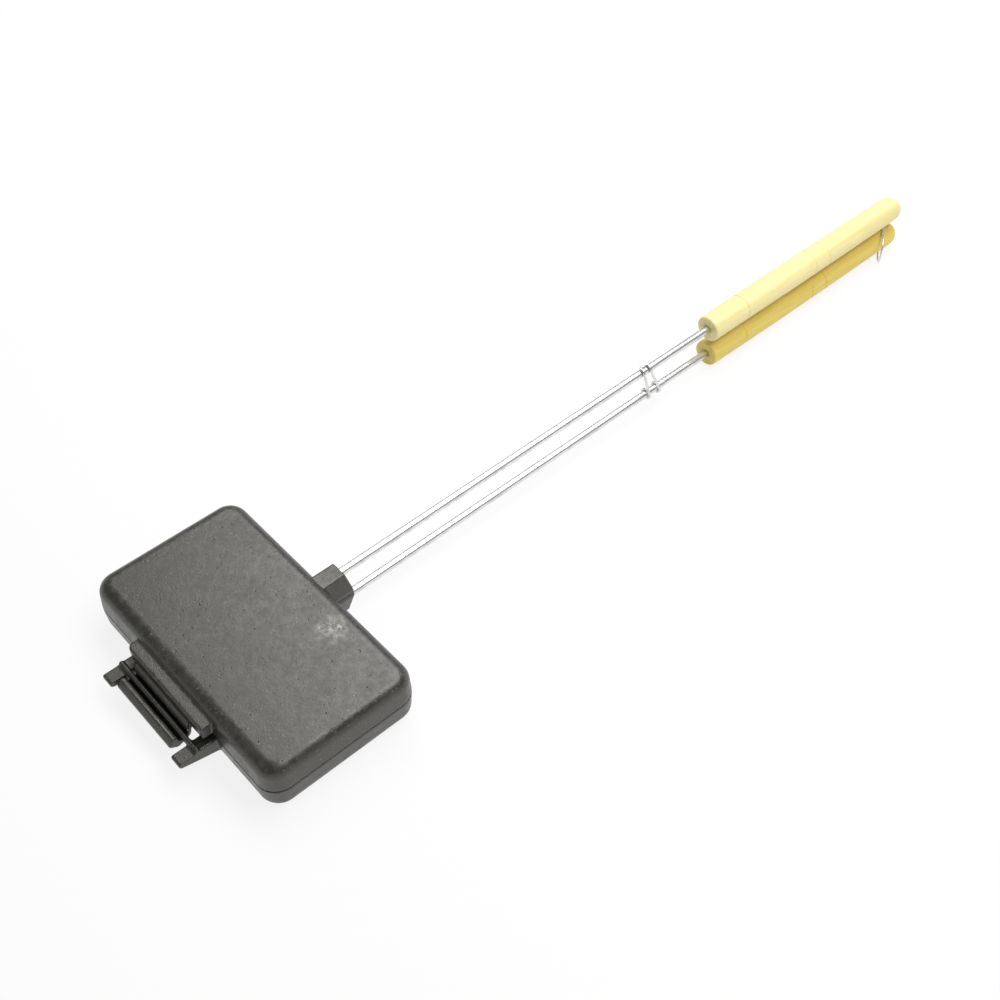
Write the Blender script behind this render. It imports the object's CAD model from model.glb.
"""Looks of a long-handled double sandwich iron that lies shut on a pale table.

Two black iron castings on plated rods, turned handles of pale wood, a wire latch bail and a
wire hanging loop. Metres. +X runs from the pans to the handles, +Z is up.
"""

import math

import bmesh
import bpy
from mathutils import Matrix, Vector


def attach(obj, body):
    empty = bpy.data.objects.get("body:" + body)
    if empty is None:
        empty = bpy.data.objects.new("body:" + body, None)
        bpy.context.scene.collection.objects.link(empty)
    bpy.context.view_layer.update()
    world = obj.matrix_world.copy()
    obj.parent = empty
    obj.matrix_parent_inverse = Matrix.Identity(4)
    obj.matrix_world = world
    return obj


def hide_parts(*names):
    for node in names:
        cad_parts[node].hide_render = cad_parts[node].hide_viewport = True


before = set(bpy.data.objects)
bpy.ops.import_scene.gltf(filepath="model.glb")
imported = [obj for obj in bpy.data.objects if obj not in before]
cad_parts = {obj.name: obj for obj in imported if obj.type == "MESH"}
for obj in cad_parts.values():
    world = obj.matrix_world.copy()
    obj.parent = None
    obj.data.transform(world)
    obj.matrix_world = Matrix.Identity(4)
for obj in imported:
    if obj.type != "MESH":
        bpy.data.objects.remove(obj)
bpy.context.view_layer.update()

# Camera.
# It stands in front of the pans' left corner, above and a little to one side, with the handles
# running away from it to the right. The lens and the place come from the photograph's perspective.
camera_at = Vector((-0.2224, -0.4850, 0.7337))
camera_aim = Vector((0.2005, -0.01325, 0.0207))
camera_lens = 48.97

camera = bpy.data.objects.new("camera", bpy.data.cameras.new("camera"))
camera.data.sensor_width = 36
camera.data.lens = camera_lens
camera.data.clip_start, camera.data.clip_end = 0.02, 40
camera.location = camera_at
camera.rotation_euler = (camera_aim - camera_at).to_track_quat("-Z", "Y").to_euler()
bpy.context.scene.collection.objects.link(camera)
bpy.context.scene.camera = camera


# The two pans.
# Each is one rough sand casting of iron with its hinge parts and its boss, seasoned black with
# oil. The mould leaves soft edges, a fine grain and a few pits, and only the edges are worn.
class Flow:
    """One socket in a node tree. Sums on it add Math nodes, and add() adds any other node."""

    def __init__(self, tree, socket=None):
        self.tree, self.socket = tree, socket

    def add(self, kind, sockets, out=0, **settings):
        node = self.tree.nodes.new(kind)
        for name, value in settings.items():
            setattr(node, name, value)
        for name, value in sockets.items():
            if isinstance(value, Flow):
                self.tree.links.new(value.socket, node.inputs[name])
            else:
                node.inputs[name].default_value = value
        return Flow(self.tree, node.outputs[out] if node.outputs else None)

    def sum(self, operation, a, b):
        return self.add("ShaderNodeMath", {0: a, 1: b}, operation=operation)

    def __add__(self, other):
        return self.sum("ADD", self, other)

    def __sub__(self, other):
        return self.sum("SUBTRACT", self, other)

    def __mul__(self, other):
        return self.sum("MULTIPLY", self, other)

    def __radd__(self, other):
        return self.sum("ADD", other, self)

    def __rsub__(self, other):
        return self.sum("SUBTRACT", other, self)

    def __rmul__(self, other):
        return self.sum("MULTIPLY", other, self)


def new_finish(name):
    material = bpy.data.materials.new(name)
    material.use_nodes = True
    material.node_tree.nodes.clear()
    return material, Flow(material.node_tree)


def part_place(start):
    """The place on the part, in metres from its origin."""
    object_output = 3
    return start.add("ShaderNodeTexCoord", {}, out=object_output)


def noise(at, scale, detail=3.0, rough=0.55, warp=0.0):
    """Soft noise from 0 to 1. The scale is in features per metre."""
    sockets = {"Vector": at, "Scale": scale, "Detail": detail, "Roughness": rough}
    return at.add("ShaderNodeTexNoise", {**sockets, "Distortion": warp})


def between(value, low, high):
    """0 where the value is under low, 1 where it is over high."""
    sockets = {"Value": value, "From Min": low, "From Max": high}
    return value.add("ShaderNodeMapRange", sockets, interpolation_type="SMOOTHSTEP")


def tint(share, low, high):
    """The colour low where the share is 0 and high where it is 1."""
    sides = [c if isinstance(c, Flow) else (*c, 1) for c in (low, high)]
    sockets = {0: share, 6: sides[0], 7: sides[1]}
    return share.add("ShaderNodeMix", sockets, out=2, data_type="RGBA")


def end_finish(start, colour, rough, height, depth, fixed):
    """Closes a material: a shader with a bumpy surface and what is the same all over it."""
    bumpy = start.add("ShaderNodeBump", {"Height": height, "Distance": depth, "Strength": 1.0})
    sockets = {"Base Color": colour, "Roughness": rough, "Normal": bumpy}
    shader = start.add("ShaderNodeBsdfPrincipled", {**sockets, **fixed})
    start.add("ShaderNodeOutputMaterial", {"Surface": shader})


def seasoned_iron(name, scuff_size):
    """Oiled black cast iron. The scuff is a pale rubbed patch on the face, 0 for none."""
    material, start = new_finish(name)
    at = part_place(start)
    blotch = noise(at, 45, 4)
    mottle = noise(at, 210, 5, 0.62)
    sand = noise(at, 1300, 2, 0.6)
    cell = start.add("ShaderNodeTexVoronoi", {"Vector": at, "Scale": 260.0}, feature="F1")
    pit = (1 - between(cell, 0.06, 0.24)) * between(noise(at, 120, 2), 0.52, 0.62)
    speck = between(noise(at, 520, 3), 0.62, 0.72)
    colour = tint(between(blotch, 0.35, 0.68), iron_black, iron_brown)
    colour = tint(between(mottle, 0.42, 0.66) * 0.7, colour, iron_grey)
    colour = tint(pit * 0.7, colour, iron_pit)
    colour = tint(speck * 0.35, colour, iron_bare)
    rough = 0.27 + 0.08 * between(blotch, 0.3, 0.7) + 0.14 * between(mottle, 0.35, 0.7)
    if scuff_size:
        away = start.add("ShaderNodeVectorMath", {0: at, 1: scuff_at}, out=1, operation="DISTANCE")
        ragged = away + (mottle - 0.5) * scuff_rag
        scuff = 1 - between(ragged, 0.25 * scuff_size, scuff_size)
        scuff = scuff * between(noise(at, 420, 4, 0.7), 0.4, 0.6)
        colour = tint(scuff, colour, iron_scuff)
        rough = rough + 0.2 * scuff
    height = 0.4 * sand + 0.8 * mottle - 0.8 * pit + 0.3 * speck
    oiled = {"IOR": 1.68, "Specular Tint": (1.0, 0.975, 0.93, 1)}
    end_finish(start, colour, rough, height, iron_relief, oiled)
    return material


iron_black = (0.021, 0.021, 0.017)
iron_brown = (0.031, 0.0295, 0.023)
iron_grey = (0.046, 0.045, 0.038)
iron_pit = (0.008, 0.008, 0.007)
iron_bare = (0.30, 0.295, 0.27)
iron_scuff = (0.46, 0.45, 0.41)
iron_relief = 0.00022
scuff_at = (0.0387, -0.0374, 0.0414)
scuff_rag = 0.03
irons = {
    "lower": seasoned_iron("seasoned_iron_lower", 0.0),
    "upper": seasoned_iron("seasoned_iron_upper", 0.013),
}
weld_within = 2e-6


def welded(node):
    """A copy of a CAD node's mesh with its loose triangles joined."""
    shell = bmesh.new()
    shell.from_mesh(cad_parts[node].data)
    bmesh.ops.remove_doubles(shell, verts=shell.verts, dist=weld_within)
    mesh = bpy.data.meshes.new(node)
    shell.to_mesh(mesh)
    shell.free()
    return mesh


def placed(name, mesh):
    thing = bpy.data.objects.new(name, mesh)
    bpy.context.scene.collection.objects.link(thing)
    return thing


def made_plain(thing):
    """Turns a piece with modifiers into the mesh that they give."""
    graph = bpy.context.evaluated_depsgraph_get()
    mesh = bpy.data.meshes.new_from_object(thing.evaluated_get(graph), depsgraph=graph)
    thing.modifiers.clear()
    thing.data = mesh


grain_step = 0.0006
soften_share, soften_rounds = 0.5, 6
kept_faces = 0.36
for half, iron in irons.items():
    node = half + "_pan"
    casting = placed(node + "_casting", welded(node))
    remesh = casting.modifiers.new("mould", "REMESH")
    remesh.mode, remesh.voxel_size = "VOXEL", grain_step
    soften = casting.modifiers.new("soften", "SMOOTH")
    soften.factor, soften.iterations = soften_share, soften_rounds
    thin = casting.modifiers.new("thin", "DECIMATE")
    thin.ratio = kept_faces
    made_plain(casting)
    casting.data.materials.clear()
    casting.data.materials.append(iron)
    casting.data.polygons.foreach_set("use_smooth", [True] * len(casting.data.polygons))
    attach(casting, half + "_half")
    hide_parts(node)
    "cast_iron_" + half


# The two rods.
# Straight 6 mm steel rods, plated bright, with chamfered ends driven into the bosses and the
# handles. Each is a turned form, as the handles are, so one node tree revolves them all.
def new_tree(name, sizes):
    """A node tree with a mesh in, the named inputs and a mesh out."""
    tree = bpy.data.node_groups.new(name, "GeometryNodeTree")
    tree.interface.new_socket("Line", in_out="INPUT", socket_type="NodeSocketGeometry")
    for label, kind in sizes.items():
        tree.interface.new_socket(label, in_out="INPUT", socket_type="NodeSocket" + kind)
    tree.interface.new_socket("Piece", in_out="OUTPUT", socket_type="NodeSocketGeometry")
    entry = tree.nodes.new("NodeGroupInput")
    return tree, {o.name: Flow(tree, o) for o in entry.outputs if o.name}


def end_tree(mesh, finish):
    """Joins up, shades smooth and paints the mesh, and sends it out of its tree."""
    whole = mesh.add("GeometryNodeRealizeInstances", {"Geometry": mesh})
    smooth = mesh.add("GeometryNodeSetShadeSmooth", {"Geometry": whole})
    painted = mesh.add("GeometryNodeSetMaterial", {"Geometry": smooth, "Material": finish})
    mesh.add("NodeGroupOutput", {0: painted})


def revolving_tree():
    """Turns a profile, points along X at their distance out in Y, once round the X axis."""
    tree, given = new_tree("turned_piece", {"Sides": "Int", "Finish": "Material"})
    line = given["Line"]
    count = line.add("GeometryNodeAttributeDomainSize", {0: line})
    rows = {"Vertices X": count, "Vertices Y": given["Sides"] + 1}
    net = line.add("GeometryNodeMeshGrid", {"Size X": 1.0, "Size Y": 1.0, **rows})
    spot = line.add("ShaderNodeSeparateXYZ", {0: line.add("GeometryNodeInputPosition", {})})
    round_by = Flow(tree, spot.socket.node.outputs["Y"])
    index = line.sum("ROUND", (spot + 0.5) * (count - 1), 0.0)
    profile = {"Geometry": line, "Value": line.add("GeometryNodeInputPosition", {})}
    drawn = line.add(
        "GeometryNodeSampleIndex", {**profile, "Index": index}, data_type="FLOAT_VECTOR"
    )
    along = line.add("ShaderNodeSeparateXYZ", {0: drawn})
    out_by = Flow(tree, along.socket.node.outputs["Y"])
    angle = (round_by + 0.5) * (2 * math.pi)
    across = out_by * line.sum("COSINE", angle, 0.0)
    up = out_by * line.sum("SINE", angle, 0.0)
    place = line.add("ShaderNodeCombineXYZ", {"X": along, "Y": across, "Z": up})
    skin = line.add("GeometryNodeSetPosition", {"Geometry": net, "Position": place})
    closed = line.add("GeometryNodeMergeByDistance", {"Geometry": skin, "Distance": weld_within})
    end_tree(line.add("GeometryNodeFlipFaces", {"Mesh": closed}), given["Finish"])
    return tree


def line_mesh(name, points):
    mesh = bpy.data.meshes.new(name)
    steps = [(i, i + 1) for i in range(len(points) - 1)]
    mesh.from_pydata([tuple(p) for p in points], steps, [])
    return mesh


def grown(name, points, tree, sizes, place):
    """Runs a tree on a row of points and puts the plain mesh that it gives in its place."""
    thing = placed(name, line_mesh(name, points))
    step = thing.modifiers.new("grown", "NODES")
    step.node_group = tree
    sockets = {i.name: i.identifier for i in tree.interface.items_tree if i.in_out == "INPUT"}
    for label, value in sizes.items():
        step[sockets[label]] = value
    made_plain(thing)
    thing.data.transform(place)
    return thing


def plated_steel(name, tone, stretch):
    """Bright plating with drawing marks along the direction in which the noise is stretched."""
    material, start = new_finish(name)
    place = part_place(start)
    at = place.add("ShaderNodeMapping", {"Vector": place, "Scale": stretch})
    lines = noise(at, 1800, 2)
    spots = noise(place, 140, 4)
    colour = tint(between(spots, 0.35, 0.7), tone, tuple(0.82 * c for c in tone))
    rough = 0.26 + 0.1 * between(spots, 0.4, 0.75) + 0.05 * (lines - 0.5)
    end_finish(start, colour, rough, lines, plating_relief, {"Metallic": 1.0})
    return material


plating_relief = 0.000001
rod_slope = math.radians(0.45)
boss_face = 0.078
rod_height = {"lower": 0.0085, "upper": 0.0347}
rod_half = 0.003
rod_end = 0.0005
rod_sunk, rod_reach = -0.021, 0.442
rod_parts, rod_sides = 40, 72
turning = revolving_tree()
rod_steel = plated_steel("plated_rod_steel", (0.80, 0.80, 0.79), (0.03, 1, 1))


def on_rod(half):
    """Where a rod leaves its boss, with X along the rod."""
    foot = Matrix.Translation((boss_face, 0, rod_height[half]))
    return foot @ Matrix.Rotation(-rod_slope, 4, "Y")


rod_line = [
    (rod_sunk, 0), (rod_sunk, rod_half - rod_end), (rod_sunk + rod_end, rod_half),
    *(
        (rod_sunk + (rod_reach - rod_sunk) * k / rod_parts, rod_half)
        for k in range(1, rod_parts)
    ),
    (rod_reach - rod_end, rod_half), (rod_reach, rod_half - rod_end), (rod_reach, 0),
]
for half in ("lower", "upper"):
    rod = grown(
        half + "_rod_steel",
        [(x, r, 0) for x, r in rod_line],
        turning,
        {"Sides": rod_sides, "Finish": rod_steel},
        on_rod(half),
    )
    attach(rod, half + "_half")
    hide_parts(half + "_rod")


# The two handles.
# Pale hardwood turned between centres: a long shallow swell, three grooves cut with the skew,
# a rounded end, then sanded and waxed. Each is driven onto its rod.
def turned_wood(name, pale, deep):
    """Waxed wood with its streaks and pores drawn out along the handle."""
    material, start = new_finish(name)
    place = part_place(start)
    at = place.add("ShaderNodeMapping", {"Vector": place, "Scale": (0.035, 1, 1)})
    streak = noise(at, 420, 4, 0.6, 0.6)
    pore = noise(at, 2400, 2)
    broad = noise(at, 90, 3)
    share = 0.55 * between(streak, 0.3, 0.72) + 0.45 * between(broad, 0.3, 0.7)
    colour = tint(share, pale, deep)
    colour = tint(between(pore, 0.62, 0.78) * 0.3, colour, tuple(0.6 * c for c in deep))
    rough = 0.42 + 0.12 * between(pore, 0.4, 0.7)
    end_finish(start, colour, rough, 1 - between(pore, 0.55, 0.8), wood_relief, {})
    return material


wood_relief = 0.00004
handle_at = {"lower": 0.351, "upper": 0.349}
handle_long = 0.235
handle_front, handle_back = 0.01045, 0.0103
handle_swell = 0.0005
dome_long = 0.011
groove_places = (0.037, 0.118, 0.135)
groove_deep, groove_wide = 0.0007, 0.0022
front_round, front_drop = 0.0018, 0.0014
bore_mouth, bore_wide = 0.0034, 0.003
bore_deep, bore_bevel = 0.012, 0.0006
dome_parts, body_parts, small_parts = 14, 90, 6
handle_sides = 96
wood_body = handle_long - dome_long


def handle_out(s):
    """How far out the wood stands at a distance s from the front of its handle."""
    t = s / wood_body
    out = handle_front * (1 - t) + handle_back * t + handle_swell * math.sin(math.pi * t)
    for g in groove_places:
        off = abs(s - g) / (groove_wide / 2)
        if off < 1:
            out -= groove_deep * (0.5 + 0.5 * math.cos(math.pi * off))
    if s < front_round:
        out -= front_drop * (1 - math.sqrt(1 - (1 - s / front_round) ** 2))
    return out


stations = {front_round * k / small_parts for k in range(small_parts + 1)}
stations |= {wood_body * k / body_parts for k in range(1, body_parts + 1)}
stations |= {
    g + groove_wide / 2 * k / small_parts
    for g in groove_places
    for k in range(-small_parts, small_parts + 1)
}
handle_line = [(bore_deep, bore_wide), (bore_bevel, bore_wide), (0.0, bore_mouth)]
handle_line += [(s, handle_out(s)) for s in sorted(stations)]
dome_turns = [math.pi / 2 * k / dome_parts for k in range(1, dome_parts)]
handle_line += [
    (wood_body + dome_long * math.sin(a), handle_back * math.cos(a)) for a in dome_turns
]
handle_line.append((handle_long, 0))
woods = {
    "lower": turned_wood("waxed_wood_lower", (0.80, 0.65, 0.16), (0.69, 0.51, 0.10)),
    "upper": turned_wood("waxed_wood_upper", (0.85, 0.76, 0.38), (0.74, 0.62, 0.26)),
}
for half, wood in woods.items():
    handle = grown(
        half + "_handle_wood",
        [(x, r, 0) for x, r in handle_line],
        turning,
        {"Sides": handle_sides, "Finish": wood},
        on_rod(half) @ Matrix.Translation((handle_at[half], 0, 0)),
    )
    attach(handle, half + "_half")
    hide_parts(half + "_handle")


# The latch bail.
# One piece of 2 mm plated wire: an eye bent round the lower rod, a leg up to the upper rod,
# over it, across, and back down the same way to a second eye.
def bending_tree():
    """Gives a row of points the thickness of a round wire."""
    sizes = {"Half Thickness": "Float", "Sides": "Int", "Finish": "Material"}
    tree, given = new_tree("bent_wire", sizes)
    path = given["Line"].add("GeometryNodeMeshToCurve", {"Mesh": given["Line"]})
    rim = path.add(
        "GeometryNodeCurvePrimitiveCircle",
        {"Radius": given["Half Thickness"], "Resolution": given["Sides"]},
    )
    tube = path.add(
        "GeometryNodeCurveToMesh", {"Curve": path, "Profile Curve": rim, "Fill Caps": True}
    )
    end_tree(tube, given["Finish"])
    return tree


def eased(points, step=0.0004, rounds=8):
    """The same path in short even steps, with its corners worn round as a bent wire's are."""
    points = [Vector(p) for p in points]
    row = [points[0]]
    for a, b in zip(points, points[1:]):
        parts = max(1, round((b - a).length / step))
        row += [a.lerp(b, k / parts) for k in range(1, parts + 1)]
    for _ in range(rounds):
        inner = [(a + 2 * b + c) / 4 for a, b, c in zip(row, row[1:], row[2:])]
        row = [row[0], *inner, row[-1]]
    return row


def arc(middle, radius, start, turn, steps=24):
    """Points of an arc about the X direction. Zero degrees is +Y and 90 is +Z."""
    spread = [math.radians(start + turn * k / steps) for k in range(steps + 1)]
    return [
        Vector((middle[0], middle[1] + radius * math.cos(a), middle[2] + radius * math.sin(a)))
        for a in spread
    ]


bail_foot = 0.3675
bail_half = 0.001
eye_out, top_out = 0.0041, 0.0044
eye_gap, bail_top_wide, bail_lean = 0.011, 0.007, 0.0103
bail_rise = (rod_height["upper"] - rod_height["lower"]) * math.cos(rod_slope)
bail_over = 104
eye_start, eye_turn = 470, -290
wire_sides = 20
side_path = [
    [
        *arc((side * eye_gap / 2, 0, 0), eye_out, eye_start, eye_turn),
        *arc((side * bail_top_wide / 2 - bail_lean, 0, bail_rise), top_out, 180, -bail_over),
    ]
    for side in (-1, 1)
]
bail_path = eased(side_path[0] + side_path[1][::-1])
bending = bending_tree()
wire_steel = plated_steel("plated_wire_steel", (0.76, 0.76, 0.74), (1, 1, 1))
foot_up = rod_height["lower"] + (bail_foot - boss_face) * math.tan(rod_slope)
bail = grown(
    "latch_bail_wire",
    bail_path,
    bending,
    {"Half Thickness": bail_half, "Sides": wire_sides, "Finish": wire_steel},
    Matrix.Translation((bail_foot, 0, foot_up)) @ Matrix.Rotation(-rod_slope, 4, "Y"),
)
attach(bail, "latch")
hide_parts("latch_bail")


# The hanging loop.
# One piece of 1.6 mm wire pushed up through the cross hole of the lower handle and bent round,
# so that its two ends meet inside the hole.
loop_at = 0.650
loop_half = 0.0008
loop_long, loop_high = 0.0284, 0.0238
loop_bend = 0.0015
loop_side = math.radians(180 + 38)
loop_ends_apart = 0.0002


def corner(x, z, radius, start, turn, steps):
    """Points of an arc about the Y direction. Zero degrees is +X and 90 is +Z."""
    spread = [math.radians(start + turn * k / steps) for k in range(steps + 1)]
    return [Vector((x + radius * math.cos(a), 0, z + radius * math.sin(a))) for a in spread]


half_high = loop_high / 2
loop_path = [Vector((0, 0, loop_ends_apart / 2))]
loop_path += corner(loop_bend, half_high - loop_bend, loop_bend, 180, -90, 8)
loop_path += corner(loop_long - half_high, 0, half_high, 90, -180, 32)
loop_path += corner(loop_bend, loop_bend - half_high, loop_bend, 270, -90, 8)
loop_path.append(Vector((0, 0, -loop_ends_apart / 2)))
loop_up = rod_height["lower"] + (loop_at - boss_face) * math.tan(rod_slope)
loop = grown(
    "hanging_loop_wire",
    eased(loop_path, 0.0004, 2),
    bending,
    {"Half Thickness": loop_half, "Sides": wire_sides, "Finish": wire_steel},
    Matrix.Translation((loop_at, 0, loop_up))
    @ Matrix.Rotation(-rod_slope, 4, "Y")
    @ Matrix.Rotation(loop_side, 4, "Z"),
)
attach(loop, "loop")
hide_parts("hanging_loop")


# Table, backdrop and light.
# A white table that turns up a little far away, a wide soft lamp overhead with a small one
# beside it, and a dim room that the camera sees as white.
table_middle = Vector((0.28, 0, 0))
table_flat, table_reach = 1.2, 3.0
table_rise = 0.4
table_rings, table_sides = 24, 96
table_glow = 0.85


def table_surface():
    shell = bmesh.new()
    turns = [2 * math.pi * k / table_sides for k in range(table_sides)]
    centre = shell.verts.new(table_middle)
    inner = [centre] * table_sides
    for i in range(1, table_rings + 1):
        far = table_reach * (i / table_rings) ** 1.5
        bend = max(0.0, (far - table_flat) / (table_reach - table_flat))
        up = table_rise * bend**2
        outer = [
            shell.verts.new(table_middle + Vector((far * math.cos(a), far * math.sin(a), up)))
            for a in turns
        ]
        for k in range(table_sides):
            j = (k + 1) % table_sides
            corners = [inner[k], outer[k], outer[j], inner[j]]
            shell.faces.new(corners[:3] if i == 1 else corners)
        inner = outer
    mesh = bpy.data.meshes.new("table")
    shell.to_mesh(mesh)
    shell.free()
    return mesh


table = placed("table", table_surface())
material, start = new_finish("white_table")
rays = start.tree.nodes.new("ShaderNodeLightPath")
camera_ray = Flow(start.tree, rays.outputs["Is Camera Ray"])
glossy_ray = Flow(start.tree, rays.outputs["Is Glossy Ray"])
seen = camera_ray + glossy_ray
plain = start.add("ShaderNodeBsdfDiffuse", {"Color": (0.86, 0.86, 0.86, 1)})
glow = start.add("ShaderNodeEmission", {"Color": (1, 1, 1, 1), "Strength": 1.0})
both = start.add("ShaderNodeMixShader", {0: seen * table_glow, 1: plain, 2: glow})
start.add("ShaderNodeOutputMaterial", {"Surface": both})
table.data.materials.append(material)

lamps = {
    "overhead_lamp": ((0.72, 0.42, 1.2), (0.9, 1.5), 20.0),
    "side_lamp": ((0.60, -0.60, 1.2), (0.8, 0.5), 9.0),
}
for name, (place, size, watts) in lamps.items():
    lamp = bpy.data.objects.new(name, bpy.data.lights.new(name, "AREA"))
    lamp.data.shape = "RECTANGLE"
    lamp.data.size, lamp.data.size_y = size
    lamp.data.energy = watts
    lamp.location = place
    bpy.context.scene.collection.objects.link(lamp)

room = bpy.data.worlds.new("room")
bpy.context.scene.world = room
room.use_nodes = True
room.node_tree.nodes.clear()
start = Flow(room.node_tree)
rays = room.node_tree.nodes.new("ShaderNodeLightPath")
camera_ray = Flow(start.tree, rays.outputs["Is Camera Ray"])
glossy_ray = Flow(start.tree, rays.outputs["Is Glossy Ray"])
shade = tint(glossy_ray, (0.25, 0.25, 0.25), (0.28, 0.28, 0.28))
shade = tint(camera_ray, shade, (1, 1, 1))
glow = start.add("ShaderNodeBackground", {"Color": shade, "Strength": 1.0})
start.add("ShaderNodeOutputWorld", {"Surface": glow})

bpy.context.scene.view_settings.view_transform = "Standard"
